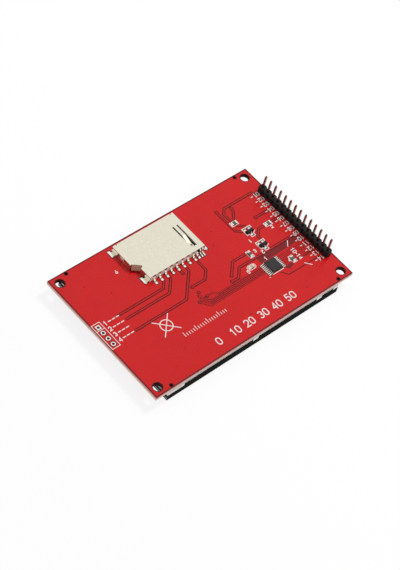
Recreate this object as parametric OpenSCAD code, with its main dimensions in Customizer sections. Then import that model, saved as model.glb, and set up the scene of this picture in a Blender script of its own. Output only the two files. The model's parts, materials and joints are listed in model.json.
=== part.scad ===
// TFT display module: a touch screen bonded under a circuit board that carries a 14-pin header,
// a full-size memory card socket and a touch controller.
// Origin on the face of the screen, below the centre of the board. +Z points from the screen to
// the component side, +X along the board to the header, +Y to the mouth of the card socket.

/* [Board] */
// Length of the circuit board along X
board_l = 89.3; // [80:0.1:120]
// Width of the circuit board along Y
board_w = 55.04; // [48:0.01:80]
// Thickness of the circuit board
board_t = 1.6; // [0.8:0.1:2.4]
// Diameter of the four corner holes
corner_hole_d = 3.2; // [2:0.1:3.8]
// Distance of the corner holes from both edges
corner_hole_inset = 3; // [2.6:0.1:4]
// Diameter of the four small locating holes
locating_hole_d = 1; // [0.5:0.1:1.2]
// Distance of the locating holes from the long edges
locating_hole_inset = 1; // [0.9:0.1:1.5]
// Distance between the locating holes along X
locating_hole_pitch = 76.1; // [60:0.1:78]
// Thickness of the tinned solder lands
land_t = 0.05; // [0.03:0.01:0.1]

/* [Header] */
// Number of header pins
header_count = 14; // [4:1:16]
// Distance between header pins and between card header holes
header_pitch = 2.54; // [2:0.01:3.2]
// Distance of the header row from the board's end
header_inset = 2.27; // [1.8:0.01:3]
// Height of the moulded strip
header_h = 2.54; // [2:0.01:4]
// Corner cut between neighbouring segments of the strip
header_chamfer = 0.5; // [0.2:0.05:0.8]
// Side of the square pins
pin_w = 0.64; // [0.4:0.02:0.7]
// Height of the pin tips over the board
pin_rise = 8.3; // [5:0.1:14]
// Length of the pin tails under the board
pin_tail = 1.5; // [1:0.1:2.4]
// Length of the tapered ends of the pins
pin_taper = 0.6; // [0.3:0.1:1]
// Diameter of the header holes in the board
pin_hole_d = 1; // [0.95:0.05:1.2]

/* [Card header holes] */
// Number of plated holes
card_pad_count = 4; // [2:1:6]
// Distance of the row from the board's end
card_pad_inset = 2; // [1.6:0.1:3]
// Diameter of the plated ring
card_pad_d = 1.7; // [1.5:0.1:2]
// Inner diameter of the plated holes
card_pad_hole_d = 1; // [0.8:0.05:1.1]
// Thickness of the plating
plating_t = 0.05; // [0.03:0.01:0.08]

/* [Card socket] */
// Width of the socket along X
socket_w = 26.9; // [26.5:0.1:34]
// Depth of the socket along Y
socket_d = 16.9; // [14:0.1:21]
// Height of the socket over the board
socket_h = 2.8; // [2.6:0.1:3.6]
// Distance of the socket's mouth from the board's edge
socket_setback = 2.2; // [0:0.1:6]
// Position of the socket's centre along the board
socket_x = -5.55; // [-20:0.05:5]
// Thickness of the shell's sheet steel
sheet_t = 0.2; // [0.15:0.05:0.3]
// Outer radius of the shell's bends
bend_r = 0.6; // [0.35:0.05:0.8]
// Gap between the shell and the moulded housing
socket_gap = 0.05; // [0.02:0.01:0.1]
// Pitch of the card contacts
contact_pitch = 2.5; // [2.4:0.05:2.6]
// Distance between the last two card contacts
last_contact_pitch = 1.7; // [1.5:0.05:1.8]
// Thickness of the contact strip
contact_t = 0.15; // [0.1:0.01:0.2]
// Width of the card contacts
contact_w = 0.7; // [0.5:0.05:0.8]
// Width of the stamped key corner
key_w = 2.1; // [1.5:0.1:3]

/* [Screen] */
// Length of the screen along X
screen_l = 77.7; // [60:0.1:78]
// Width of the screen along Y
screen_w = 55.04; // [45:0.01:70]
// Position of the screen's centre along the board
screen_x = -0.65; // [-2:0.05:0]
// Position of the screen's centre across the board
screen_y = -0.28; // [-1:0.01:1]
// Thickness of the black edge tape
wrap_t = 0.1; // [0.05:0.01:0.2]
// Thickness of the touch film
film_t = 0.2; // [0.15:0.01:0.3]
// Thickness of the spacer ring under the touch film
spacer_t = 0.1; // [0.1:0.01:0.2]
// Thickness of the touch glass
touch_glass_t = 1; // [0.7:0.1:1.8]
// Thickness of the black gasket
gasket_t = 0.3; // [0.2:0.05:0.5]
// Thickness of each sheet of the display glass
cell_glass_t = 0.45; // [0.3:0.05:0.7]
// Height of the backlight frame
frame_h = 1.15; // [1:0.05:2]
// Width of the walls of the backlight frame
frame_wall = 1.4; // [1.2:0.1:2]
// Thickness of the back reflector
reflector_t = 0.1; // [0.05:0.01:0.15]
// Thickness of the mounting tape
tape_t = 0.25; // [0.2:0.01:0.5]
// Thickness of each polariser
polariser_t = 0.1; // [0.08:0.01:0.12]
// Thickness of each backlight film
light_film_t = 0.15; // [0.1:0.01:0.2]
// Length of the bare glass ledge at the flex end
ledge_l = 3.2; // [2.6:0.1:5]
// Width of the flex tail
flex_w = 32; // [20:1:33]
// Width of the touch tail
touch_tail_w = 4; // [3:0.5:5]
// Thickness of both tails
flex_t = 0.1; // [0.08:0.01:0.12]
// Number of backlight lamps
led_count = 6; // [4:1:8]

/* [Touch controller] */
// Width of the moulded body between its two rows of leads
controller_w = 4.4; // [3.9:0.1:5.5]
// Length of the moulded body along the rows
controller_l = 5; // [4.9:0.1:6.5]
// Height of the body's top over the board
controller_h = 1.1; // [0.9:0.1:1.6]
// Distance of the body's centre from the header row
controller_to_header = 19.15; // [16:0.05:24]
// Position of the body's centre across the board
controller_y = -9.85; // [-12:0.05:-8]
// Number of leads on each side
lead_count = 8; // [4:1:8]
// Distance between the leads
lead_pitch = 0.65; // [0.5:0.05:0.65]
// Distance that the leads reach out from the body
lead_reach = 1; // [0.8:0.1:1.4]
// Width of the leads
lead_w = 0.25; // [0.2:0.05:0.3]
// Thickness of the leads
lead_t = 0.15; // [0.1:0.01:0.2]

/* [Small components] */
// Length of the three-lead bodies along X
sot_l = 2.9; // [2.6:0.1:3.2]
// Width of the three-lead bodies
sot_w = 1.3; // [1.1:0.1:1.6]
// Height of the three-lead bodies over the board
sot_h = 1.05; // [0.9:0.05:1.3]
// Length of the chips
chip_l = 2; // [1.6:0.1:2.4]
// Width of the chips
chip_w = 1.25; // [0.8:0.05:1.6]
// Thickness of the ceramic of the chips
chip_h = 0.45; // [0.35:0.05:0.8]
// Length of the end caps of the chips
cap_l = 0.4; // [0.25:0.05:0.6]
// Thickness of the end caps' metal
cap_t = 0.04; // [0.03:0.01:0.06]

/* [Hidden] */
$fn = 48;
tiny = 0.01;

// Heights of the layers of the screen, counted from its face
spacer_z = film_t;
touch_glass_z = spacer_z + spacer_t;
gasket_z = touch_glass_z + touch_glass_t;
front_glass_z = gasket_z + gasket_t;
rear_glass_z = front_glass_z + cell_glass_t;
frame_z = rear_glass_z + cell_glass_t;
prism_z = frame_z + polariser_t;
diffuser_z = prism_z + light_film_t;
guide_z = diffuser_z + light_film_t;
reflector_z = frame_z + frame_h;
tape_z = reflector_z + reflector_t;
board_z = tape_z + tape_t;
board_top = board_z + board_t;
land_top = board_top + land_t;

// Plan of the screen
glass_l = screen_l - 2 * wrap_t;
glass_w = screen_w - 2 * wrap_t;
cavity_l = glass_l - 2 * frame_wall;
cavity_w = glass_w - 2 * frame_wall;
fit_gap = 0.1;
gasket_border = 2.5;
spacer_border = 2;
corner_r = 0.6;

// Film tabs that drop into notches of the backlight frame
film_tab_w = 4;
film_tab_d = 0.6;
film_tab_from_end = 12;

// Lamps at the flex end of the backlight
lamp_l = 2.8;
lamp_w = 0.8;
lamp_h = 0.55;
lamp_strip_t = 0.12;
lamp_bay = 1.2;

// Driver chip and tails at the flex end of the glass
driver_l = 17;
driver_w = 1;
driver_t = 0.25;
driver_from_edge = 1.9;
flex_bond = 1.1;
flex_out = 0.3;
flex_landing = 5;
tail_spacing = 1.4;
touch_tail_y = flex_w / 2 + tail_spacing + touch_tail_w / 2;
touch_tail_bond = 1.9;
touch_tail_landing = 2;
fold_steps = 12;

// Flaps of the edge tape over the long sides of the backlight frame
flap_from_flex_end = 7.2;
flap_from_header_end = 2.6;
flap_gap_w = 2.7;
flap_gaps_from_header_end = [9.2, 38.9];

// Mounting tape
tape_strip_w = 8;
tape_strip_from_side = 3;
tape_strip_from_end = 8;

// Board
locating_hole_shift = 0.5;

// Header
header_x = board_l / 2 - header_inset;
header_w = 2.54;
pin_tip_w = 0.3;
solder_r = 0.95;
solder_h = 0.9;

// Card header holes
card_pad_x = -board_l / 2 + card_pad_inset;

// Card socket, in its own frame: X from its centre, Y from its rear edge, Z from the board
socket_y = board_w / 2 - socket_setback - socket_d;
shell_lift = 0.25;
key_rear = 4.8;
key_inner_y = 5.5;
key_outer_y = 7.6;
key_flap_l = 2.2;
key_flap_tilt = 25;
key_fold_lap = 0.5;
key_outer_x = -socket_w / 2 + 0.5;
key_inner_x = -socket_w / 2 + 3.1;
rear_wall_x = -socket_w / 2 + key_w;
relief_w = 0.4;
relief_d = 0.45;
relief_from_side = 1.4;
side_window = [2.1, 1.1];
side_window_y = socket_d - 6;
side_window_z = 1.2;
tab_reach = 1.2;
tab_l = 1.8;
rear_tab_y = 1.3;
right_tab_y = 0.7;
front_tab_y = socket_d - 1.2;

// Pressing tongue in the top of the shell
tongue_w = 1.3;
tongue_slot = 0.55;
tongue_from_side = 3.55;
tongue_root_y = socket_d - 5;
tongue_bend_y = 7.4;
tongue_low_y = 4.2;
tongue_tip_y = 2.3;
tongue_drop = 0.95;
tongue_window_y = 1.8;
tongue_bump_r = 0.5;
tongue_bump_y = 3.1;

// Moulded housing, low enough for its upper edges to clear the inner radius of the bends
housing_x0 = rear_wall_x + sheet_t + socket_gap;
housing_x1 = socket_w / 2 - sheet_t - socket_gap;
housing_side_x = -housing_x1;
housing_rear_y = 0.1;
housing_wall = 2;
housing_front_y = socket_d - 1.4;
inner_bend_r = bend_r - sheet_t;
bend_drop = inner_bend_r - sqrt(pow(inner_bend_r, 2) - pow(inner_bend_r - socket_gap, 2));
housing_h = socket_h - sheet_t - bend_drop - 0.02;
floor_t = 0.4;
rail_w = 1.1;
rail_gap = 1;
floor_gap = 0.3;
key_block = 1.2;
peg_d = 1.2;
peg_l = 1.3;
peg_gap = 0.05;
peg_x = 8.5;
peg_y = socket_d - 4.5;
slot_w = 1;
slot_l = 6.9;
window_w = 1;
window_z = 1.75;
switch_bay_w = 2.7;
switch_bay_from_side = 0.3;
switch_bay_d = 1.4;
switch_bay_h = 2;
switch_bay_z = 0.35;

// Contacts
contact_count = 9;
first_contact_x = rear_wall_x + 2.1;
contact_z = 1;
foot_reach = 1.5;
foot_l = 0.9;
foot_rise = 0.35;
switch_w = 0.45;
switch_inset = [2.2, 1.2];

// Touch controller and three-lead bodies
controller_x = header_x - controller_to_header;
standoff = 0.1;
draft = 0.12;
lead_foot = 0.55;
mark_r = 0.35;
mark_depth = 0.06;
mark_from_side = 0.9;
sot_lead_w = 0.4;
sot_lead_reach = 0.6;
sot_lead_foot = 0.3;
sot_lead_pitch = 1.9;
sot_from_header = 15.9;
regulator_pos = [header_x - sot_from_header, 5.6];
transistor_pos = [header_x - sot_from_header, -1.35];

// Chips: place and turn
resistor_places = [
    [[header_x - 18.1, 11.2], 0],
    [[header_x - 8, 4.65], 0],
    [[header_x - 22.5, -1.8], 90],
    [[header_x - 11.3, -11.45], 90]
];
capacitor_place = [[header_x - 25.8, -6.1], 0];

// Lands: length and width, or how far each is longer and wider than its lead
lead_land_extra = [0.6, 0.1];
sot_land = [0.9, 1];
chip_land = [1.1, 1.5];
contact_land_l = 1.5;
contact_land_extra = 0.2;
switch_land_extra = 0.15;
contact_land_from_toe = 0.45;
tab_land = [1.1, 3];
tab_land_shift = [0.35, 0.4];

// Points of an arc round c from angle a to angle b
function arc(c, r, a, b, steps) = [
    for (i = [0:steps]) c + r * [cos(a + (b - a) * i / steps), sin(a + (b - a) * i / steps)]
];

// Outline of a strip of thickness t along a path, mitred at its bends
function unit(v) = v / norm(v);
function side_of(v) = [-v[1], v[0]];
function step_side(path, i) = side_of(unit(path[i + 1] - path[i]));
function mitre(a, b) = (a + b) / (1 + a * b);
function path_side(path, i) =
    i == 0 ? step_side(path, 0)
    : i == len(path) - 1 ? step_side(path, i - 1)
    : mitre(step_side(path, i - 1), step_side(path, i));
function strip_outline(path, t) = concat(
    [for (i = [0:len(path) - 1]) path[i] + path_side(path, i) * t / 2],
    [for (i = [len(path) - 1:-1:0]) path[i] - path_side(path, i) * t / 2]
);

// Extrusions of a profile drawn in the XZ or the YZ plane, centred on the third axis
module along_y(w) rotate([90, 0, 0]) linear_extrude(w, center = true) children();
module along_x(w) rotate([90, 0, 90]) linear_extrude(w, center = true) children();

module plate(l, w, t) translate([-l / 2, -w / 2, 0]) cube([l, w, t]);

module rounded_plate(l, w, t, r) {
    plate(l - 2 * r, w, t);
    plate(l, w - 2 * r, t);
    for (sx = [-1, 1], sy = [-1, 1])
        translate([sx * (l / 2 - r), sy * (w / 2 - r), 0]) cylinder(h = t, r = r);
}

module at_screen(z) translate([screen_x, screen_y, z]) children();
module at_corner_holes()
    for (sx = [-1, 1], sy = [-1, 1])
        translate([
            sx * (board_l / 2 - corner_hole_inset), sy * (board_w / 2 - corner_hole_inset), board_z
        ]) children();
module at_locating_holes()
    for (sx = [-1, 1], sy = [-1, 1])
        translate([
            sx * locating_hole_pitch / 2 + locating_hole_shift,
            sy * (board_w / 2 - locating_hole_inset), board_z
        ]) children();
module at_header()
    for (i = [0:header_count - 1])
        translate([header_x, (i - (header_count - 1) / 2) * header_pitch, 0]) children();
module at_card_pads()
    for (i = [0:card_pad_count - 1])
        translate([card_pad_x, ((card_pad_count - 1) / 2 - i) * header_pitch, board_z]) {
            $first = i == 0;
            children();
        }
module at_socket() translate([socket_x, socket_y, board_top]) children();
module at_pegs() for (s = [-1, 1]) translate([s * peg_x, peg_y, 0]) children();

module hole(d, h) translate([0, 0, -tiny]) cylinder(h = h + 2 * tiny, d = d);

// Board

module circuit_board() {
    color("firebrick") difference() {
        translate([0, 0, board_z]) plate(board_l, board_w, board_t);
        at_corner_holes() hole(corner_hole_d, board_t);
        at_locating_holes() hole(locating_hole_d, board_t);
        at_header() translate([0, 0, board_z]) hole(pin_hole_d, board_t);
        at_card_pads() hole(card_pad_hole_d + 2 * plating_t, board_t);
        at_socket() at_pegs() translate([0, 0, -board_t]) hole(peg_d + 2 * peg_gap, board_t);
    }
}

// One plated hole: a barrel through the board with a ring on each face, square on the first one
module plated_hole(square_ring) {
    difference() {
        union() {
            for (z = [-plating_t, board_t])
                translate([0, 0, z])
                    if (square_ring) plate(card_pad_d, card_pad_d, plating_t);
                    else cylinder(h = plating_t, d = card_pad_d);
            cylinder(h = board_t, d = card_pad_hole_d + 2 * plating_t);
        }
        translate([0, 0, -plating_t]) hole(card_pad_hole_d, board_t + 2 * plating_t);
    }
}

module card_header_holes() {
    color("silver") at_card_pads() plated_hole($first);
}

module solder_lands() {
    color("gainsboro") {
        at_controller() at_lead_feet()
            plate(lead_reach + lead_land_extra.x, lead_w + lead_land_extra.y, land_t);
        for (p = [regulator_pos, transistor_pos])
            translate([p[0], p[1], board_top]) at_sot_feet() plate(sot_land.x, sot_land.y, land_t);
        for (p = concat(resistor_places, [capacitor_place]))
            at_chip(p) for (s = [-1, 1])
                translate([s * chip_l / 2, 0, -land_t]) plate(chip_land.x, chip_land.y, land_t);
        at_socket() {
            translate([0, -foot_reach + contact_land_l / 2 - contact_land_from_toe, 0]) {
                for (x = contact_xs()) translate([x, 0, 0])
                    plate(contact_w + contact_land_extra, contact_land_l, land_t);
                for (x = switch_xs()) translate([x, 0, 0])
                    plate(switch_w + switch_land_extra, contact_land_l, land_t);
            }
            at_shell_tabs() translate([tab_reach / 2 + tab_land_shift.x, tab_land_shift.y, 0])
                plate(tab_land.x, tab_land.y, land_t);
        }
    }
}

// Header

// Points of one long side of the strip, three a segment
function strip_side(s) = [
    for (i = [0:header_count - 1], p = [[header_chamfer, 0], [0, 1], [0, 2]])
        let (y = (i - header_count / 2) * header_pitch)
        [
            s * (header_w / 2 - p[0]),
            y + (p[1] == 0 ? 0 : p[1] == 1 ? header_chamfer : header_pitch - header_chamfer)
        ]
];
function strip_end(s) = [s * (header_w / 2 - header_chamfer), header_count / 2 * header_pitch];
function reversed(v) = [for (i = [len(v) - 1:-1:0]) v[i]];

module header_strip() {
    outline = concat(strip_side(1), [strip_end(1)], [strip_end(-1)], reversed(strip_side(-1)));
    color("#202020") difference() {
        translate([header_x, 0, board_top]) linear_extrude(header_h) polygon(outline);
        at_header() translate([0, 0, board_z]) plate(pin_w, pin_w, board_t + header_h + tiny);
    }
}

// Side view of a pin: straight with a taper at both ends
module pin_profile() {
    low = board_z - pin_tail;
    high = board_top + pin_rise;
    polygon([
        [-pin_tip_w / 2, low], [pin_tip_w / 2, low],
        [pin_w / 2, low + pin_taper], [pin_w / 2, high - pin_taper],
        [pin_tip_w / 2, high], [-pin_tip_w / 2, high],
        [-pin_w / 2, high - pin_taper], [-pin_w / 2, low + pin_taper]
    ]);
}

module header_pins() {
    color("goldenrod") at_header() intersection() {
        along_x(pin_w) pin_profile();
        along_y(pin_w) pin_profile();
    }
}

module header_solder() {
    color("lightgray") at_header() difference() {
        translate([0, 0, board_z]) rotate_extrude() polygon([
            [0, 0], [solder_r, 0], [0.65 * solder_r, -0.35 * solder_h],
            [0.5 * solder_r, -solder_h], [0, -solder_h]
        ]);
        intersection() {
            along_x(pin_w) pin_profile();
            along_y(pin_w) pin_profile();
        }
    }
}

// Card socket

function contact_xs() = [
    for (i = [0:contact_count - 1])
        first_contact_x + min(i, contact_count - 2) * contact_pitch
        + (i == contact_count - 1 ? last_contact_pitch : 0)
];
function switch_xs() = [for (d = switch_inset) socket_w / 2 - d];

// Tabs of the shell on the board, turned so that each reaches out along +X
module at_shell_tabs() {
    translate([rear_wall_x, rear_tab_y, 0]) mirror([1, 0, 0]) children();
    translate([-socket_w / 2, front_tab_y, 0]) mirror([1, 0, 0]) children();
    translate([socket_w / 2, right_tab_y, 0]) children();
    translate([socket_w / 2, front_tab_y, 0]) children();
}

// End view of a folded channel from x0 to x1 with rounded upper corners
module channel_outline(x0, x1, h, r) {
    translate([x0, 0]) square([x1 - x0, h - r]);
    translate([x0 + r, 0]) square([x1 - x0 - 2 * r, h]);
    for (x = [x0 + r, x1 - r]) translate([x, h - r]) circle(r);
}

module channel(x0, x1, y0, y1) {
    translate([0, (y0 + y1) / 2, 0]) along_y(y1 - y0) difference() {
        channel_outline(x0, x1, socket_h, bend_r);
        translate([0, -tiny]) channel_outline(
            x0 + sheet_t, x1 - sheet_t, socket_h - sheet_t + tiny, bend_r - sheet_t
        );
        translate([x0 - tiny, -tiny]) square([x1 - x0 + 2 * tiny, shell_lift + tiny]);
    }
}

module tongue_window() {
    w = tongue_w + 2 * tongue_slot;
    translate([
        socket_w / 2 - tongue_from_side - w / 2, tongue_window_y, socket_h - sheet_t - tiny
    ]) cube([w, tongue_root_y - tongue_window_y, sheet_t + 2 * tiny]);
}

// Tongue pressed down out of the top, with a round bump that bears on the card
module tongue() {
    z = socket_h - sheet_t / 2;
    path = [
        [tongue_root_y + tiny, z], [tongue_bend_y, z],
        [tongue_low_y, z - tongue_drop], [tongue_tip_y, z - tongue_drop + 0.05]
    ];
    translate([socket_w / 2 - tongue_from_side, 0, 0]) difference() {
        union() {
            along_x(tongue_w) polygon(strip_outline(path, sheet_t));
            tongue_bump(tongue_bump_r + sheet_t / 2);
        }
        translate([0, 0, sheet_t / 2 + tiny]) tongue_bump(tongue_bump_r);
    }
}

module tongue_bump(r) {
    z = socket_h - sheet_t / 2 - tongue_drop;
    translate([0, tongue_bump_y, z]) difference() {
        sphere(r);
        translate([-r, -r, 0]) cube(2 * r);
    }
}

// Flap folded down from the top along the key corner, and left leaning out
module key_flap() {
    outer = [key_outer_x, key_outer_y];
    inner = [key_inner_x, key_inner_y];
    run = inner - outer;
    z = socket_h - sheet_t / 2;
    path = [
        [key_fold_lap, z], [0, z],
        [-key_flap_l * sin(key_flap_tilt), z - key_flap_l * cos(key_flap_tilt)]
    ];
    translate((outer + inner) / 2) rotate(atan2(run.y, run.x)) along_x(norm(run))
        polygon(strip_outline(path, sheet_t));
}

// Plan of the key corner that is cut away from the full-width channel
module key_cut() {
    far = socket_w;
    translate([0, 0, -tiny]) linear_extrude(socket_h + 2 * tiny) polygon([
        [-far, -1], [rear_wall_x + bend_r, -1], [rear_wall_x + bend_r, key_rear],
        [key_inner_x, key_inner_y], [key_outer_x, key_outer_y], [-far, key_outer_y]
    ]);
}

module shell_tab() {
    translate([-sheet_t, -tab_l / 2, land_t]) {
        cube([tab_reach + sheet_t, tab_l, sheet_t]);
        cube([sheet_t, tab_l, shell_lift + tiny]);
    }
}

module socket_shell() {
    color("#d8d4c4") at_socket() {
        difference() {
            union() {
                difference() {
                    channel(-socket_w / 2, socket_w / 2, 0, socket_d);
                    key_cut();
                }
                channel(rear_wall_x, socket_w / 2, 0, key_rear);
            }
            tongue_window();
            for (s = [-1, 1])
                translate([
                    s * (socket_w / 2 - relief_from_side) - relief_w / 2, socket_d - relief_d,
                    socket_h - sheet_t - tiny
                ]) cube([relief_w, relief_d + tiny, sheet_t + 2 * tiny]);
            translate([-socket_w / 2 - tiny, side_window_y, side_window_z])
                cube([sheet_t + 2 * tiny, side_window[0], side_window[1]]);
        }
        tongue();
        key_flap();
        at_shell_tabs() shell_tab();
    }
}

module socket_housing() {
    color("ivory") at_socket() difference() {
        union() {
            // Rear wall that carries the contacts
            translate([housing_x0, housing_rear_y, 0])
                cube([housing_x1 - housing_x0, housing_wall, housing_h]);
            // Floor, cut back behind the key flap
            linear_extrude(floor_t) polygon([
                [housing_x0, housing_rear_y], [housing_x1, housing_rear_y],
                [housing_x1, housing_front_y], [housing_side_x, housing_front_y],
                [housing_side_x, key_outer_y + rail_gap], [key_outer_x + 0.8, key_outer_y + 0.2],
                [key_inner_x + floor_gap, key_inner_y + floor_gap],
                [key_inner_x + floor_gap, key_rear - floor_gap], [housing_x0, key_rear - floor_gap]
            ]);
            // Side rails
            translate([housing_x1 - rail_w, housing_rear_y, 0])
                cube([rail_w, housing_front_y - housing_rear_y, housing_h]);
            translate([housing_side_x, key_outer_y + rail_gap, 0])
                cube([rail_w, housing_front_y - key_outer_y - rail_gap, housing_h]);
            // Wedge that fills the key corner of the card
            linear_extrude(housing_h) polygon([
                [housing_x0, housing_rear_y + housing_wall - tiny],
                [housing_x0 + key_block, housing_rear_y + housing_wall - tiny],
                [housing_x0, housing_rear_y + housing_wall + key_block]
            ]);
            at_pegs() translate([0, 0, -peg_l]) cylinder(h = peg_l + tiny, d = peg_d);
        }
        for (x = contact_xs()) {
            // Spring slot in the floor
            translate([x - slot_w / 2, housing_rear_y + housing_wall, -tiny])
                cube([slot_w, slot_l, floor_t + 2 * tiny]);
            // Passage that grips the contact
            translate([x - contact_w / 2, 0, land_t + contact_z - contact_t / 2])
                cube([contact_w, housing_wall + 2 * housing_rear_y, contact_t]);
            // Notch above it, open under the lip of the shell
            translate([x - window_w / 2, 0, window_z])
                cube([window_w, housing_wall + 2 * housing_rear_y, socket_h]);
        }
        // Bay of the detect contacts
        translate([housing_x1 - switch_bay_w - switch_bay_from_side, 0, switch_bay_z])
            cube([switch_bay_w, switch_bay_d, switch_bay_h]);
    }
}

// Side view of a card contact: foot, riser, grip in the rear wall and spring bow
module contact_profile() {
    foot_z = land_t + contact_t / 2;
    grip_z = land_t + contact_z;
    inner_y = housing_rear_y + housing_wall + contact_t / 2;
    polygon(strip_outline([
        [-foot_reach, foot_z], [-foot_reach + foot_l, foot_z], [-0.25, foot_z + foot_rise],
        [-0.2, grip_z - 0.1], [0, grip_z], [inner_y, grip_z],
        [inner_y + 0.6, 0.45], [inner_y + 2.2, 0.35], [inner_y + 4, 0.85],
        [inner_y + 4.7, 1.02], [inner_y + 5.3, 0.95], [inner_y + 6.1, 0.6]
    ], contact_t));
}

module socket_contacts() {
    color("gold") at_socket()
        for (x = contact_xs()) translate([x, 0, 0]) along_x(contact_w) contact_profile();
}

module socket_switch_contacts() {
    foot_z = land_t + contact_t / 2;
    color("gold") at_socket() for (x = switch_xs())
        translate([x, 0, 0]) along_x(switch_w) polygon(strip_outline([
            [-foot_reach, foot_z], [-foot_reach + foot_l, foot_z], [-0.3, foot_z + foot_rise],
            [-0.2, 1.6], [0.1, 2.05], [0.6, 2.1], [1, 1.7], [switch_bay_d - contact_t / 2, 1.2],
            [switch_bay_d - contact_t / 2, switch_bay_z + 0.1]
        ], contact_t));
}

// Packages with leads

// Side view of a moulded body: widest where its leads come out
module moulded_profile(w, h, t) {
    part = (standoff + h) / 2;
    polygon([
        [-w / 2 + draft, standoff], [w / 2 - draft, standoff],
        [w / 2, part - t / 2], [w / 2, part + t / 2],
        [w / 2 - draft, h], [-w / 2 + draft, h],
        [-w / 2, part + t / 2], [-w / 2, part - t / 2]
    ]);
}

module moulded_body(l, w, h, t) {
    intersection() {
        along_y(w) moulded_profile(l, h, t);
        along_x(l) moulded_profile(w, h, t);
    }
}

// One lead that leaves a body at x = 0 and stands on its land
module gull_wing(reach, foot, h, w, t) {
    part = (standoff + h) / 2;
    foot_z = land_t + t / 2;
    along_y(w) polygon(strip_outline([
        [0, part], [(reach - foot) * 0.45, part], [(reach - foot) * 0.8, foot_z + 0.1],
        [reach - foot, foot_z], [reach, foot_z]
    ], t));
}

module at_controller() translate([controller_x, controller_y, board_top]) children();
module at_controller_leads()
    for (side = [0, 180], i = [0:lead_count - 1])
        rotate(side) translate([controller_w / 2, (i - (lead_count - 1) / 2) * lead_pitch, 0])
            children();
module at_lead_feet() at_controller_leads() translate([lead_reach - 0.1, 0, 0]) children();

// Body with a shallow round mark at its first lead
module touch_controller() {
    color("#2a2c2e") at_controller() difference() {
        moulded_body(controller_w, controller_l, controller_h, lead_t);
        translate([
            -controller_w / 2 + mark_from_side, controller_l / 2 - mark_from_side,
            controller_h - mark_depth
        ]) cylinder(h = controller_h, r = mark_r);
    }
}

module touch_controller_leads() {
    color("lightgray") at_controller() at_controller_leads()
        gull_wing(lead_reach, lead_foot, controller_h, lead_w, lead_t);
}

// Three leads: two towards +Y and one towards -Y
module at_sot_leads()
    for (p = [[sot_lead_pitch / 2, 90], [-sot_lead_pitch / 2, 90], [0, -90]])
        translate([p[0], 0, 0]) rotate(p[1]) translate([sot_w / 2, 0, 0]) children();
module at_sot_feet() at_sot_leads() translate([sot_lead_reach - 0.05, 0, 0]) children();

module three_lead_body(p) {
    color("#1e1e20") translate([p[0], p[1], board_top]) moulded_body(sot_l, sot_w, sot_h, lead_t);
}

module three_leads(p) {
    color("lightgray") translate([p[0], p[1], board_top])
        at_sot_leads() gull_wing(sot_lead_reach, sot_lead_foot, sot_h, sot_lead_w, lead_t);
}

module regulator() three_lead_body(regulator_pos);
module regulator_leads() three_leads(regulator_pos);
module backlight_transistor() three_lead_body(transistor_pos);
module backlight_transistor_leads() three_leads(transistor_pos);

// Chips

module at_chip(place)
    translate([place[0][0], place[0][1], land_top]) rotate(place[1]) children();

module chip_core() translate([0, 0, cap_t]) plate(chip_l - 2 * cap_t, chip_w, chip_h);

module chip_caps() {
    for (s = [-1, 1]) difference() {
        translate([s * (chip_l - cap_l) / 2, 0, 0]) plate(cap_l, chip_w, chip_h + 2 * cap_t);
        chip_core();
    }
}

module resistors() {
    color("dimgray") for (p = resistor_places) at_chip(p) chip_core();
}
module resistor_caps() {
    color("gainsboro") for (p = resistor_places) at_chip(p) chip_caps();
}
module capacitor() {
    color("tan") at_chip(capacitor_place) chip_core();
}
module capacitor_caps() {
    color("gainsboro") at_chip(capacitor_place) chip_caps();
}

// Screen, from the board down to its face

module mounting_tape() {
    strip_l = screen_l - 2 * tape_strip_from_end;
    strip_y = screen_w / 2 - tape_strip_from_side - tape_strip_w / 2;
    color("whitesmoke") at_screen(tape_z)
        for (s = [-1, 1]) translate([0, s * strip_y, 0]) plate(strip_l, tape_strip_w, tape_t);
}

module back_reflector() {
    color("white") at_screen(reflector_z) plate(glass_l, glass_w, reflector_t);
}

module at_film_tabs()
    for (sx = [-1, 1], sy = [-1, 1])
        translate([sx * (cavity_l / 2 - film_tab_from_end), sy * cavity_w / 2, 0]) children();

module backlight_frame() {
    color("white") at_screen(frame_z) difference() {
        plate(glass_l, glass_w, frame_h);
        translate([0, 0, -tiny]) {
            rounded_plate(cavity_l, cavity_w, frame_h + 2 * tiny, corner_r);
            at_film_tabs()
                plate(film_tab_w + 2 * fit_gap, 2 * (film_tab_d + fit_gap), frame_h + 2 * tiny);
        }
    }
}

module light_guide() {
    l = cavity_l - lamp_bay - fit_gap;
    t = reflector_z - guide_z;
    color("azure") at_screen(guide_z) translate([(lamp_bay - fit_gap) / 2, 0, 0])
        rounded_plate(l, cavity_w - 2 * fit_gap, t, corner_r);
}

// One sheet of film with four tabs
module backlight_film() {
    rounded_plate(cavity_l - 2 * fit_gap, cavity_w - 2 * fit_gap, light_film_t, corner_r);
    at_film_tabs() plate(film_tab_w, 2 * film_tab_d, light_film_t);
}

module diffuser_film() {
    color("white") at_screen(diffuser_z) backlight_film();
}
module prism_film() {
    color("lightcyan") at_screen(prism_z) backlight_film();
}

module lamp_strip() {
    color("khaki") at_screen(reflector_z - lamp_strip_t)
        translate([-cavity_l / 2 + lamp_bay / 2, 0, 0])
            plate(lamp_bay - 2 * fit_gap, cavity_w - 2 * corner_r, lamp_strip_t);
}

module backlight_lamps() {
    pitch = (cavity_w - 2 * corner_r) / led_count;
    color("lightyellow") at_screen(reflector_z - lamp_strip_t - lamp_h)
        for (i = [0:led_count - 1])
            translate([-cavity_l / 2 + lamp_bay / 2, (i - (led_count - 1) / 2) * pitch, 0])
                plate(lamp_w, lamp_l, lamp_h);
}

module rear_polariser() {
    color("#555560") at_screen(frame_z)
        rounded_plate(cavity_l - 2 * fit_gap, cavity_w - 2 * fit_gap, polariser_t, corner_r);
}

module rear_glass() {
    color("#303438") at_screen(rear_glass_z) plate(glass_l, glass_w, cell_glass_t);
}

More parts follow.
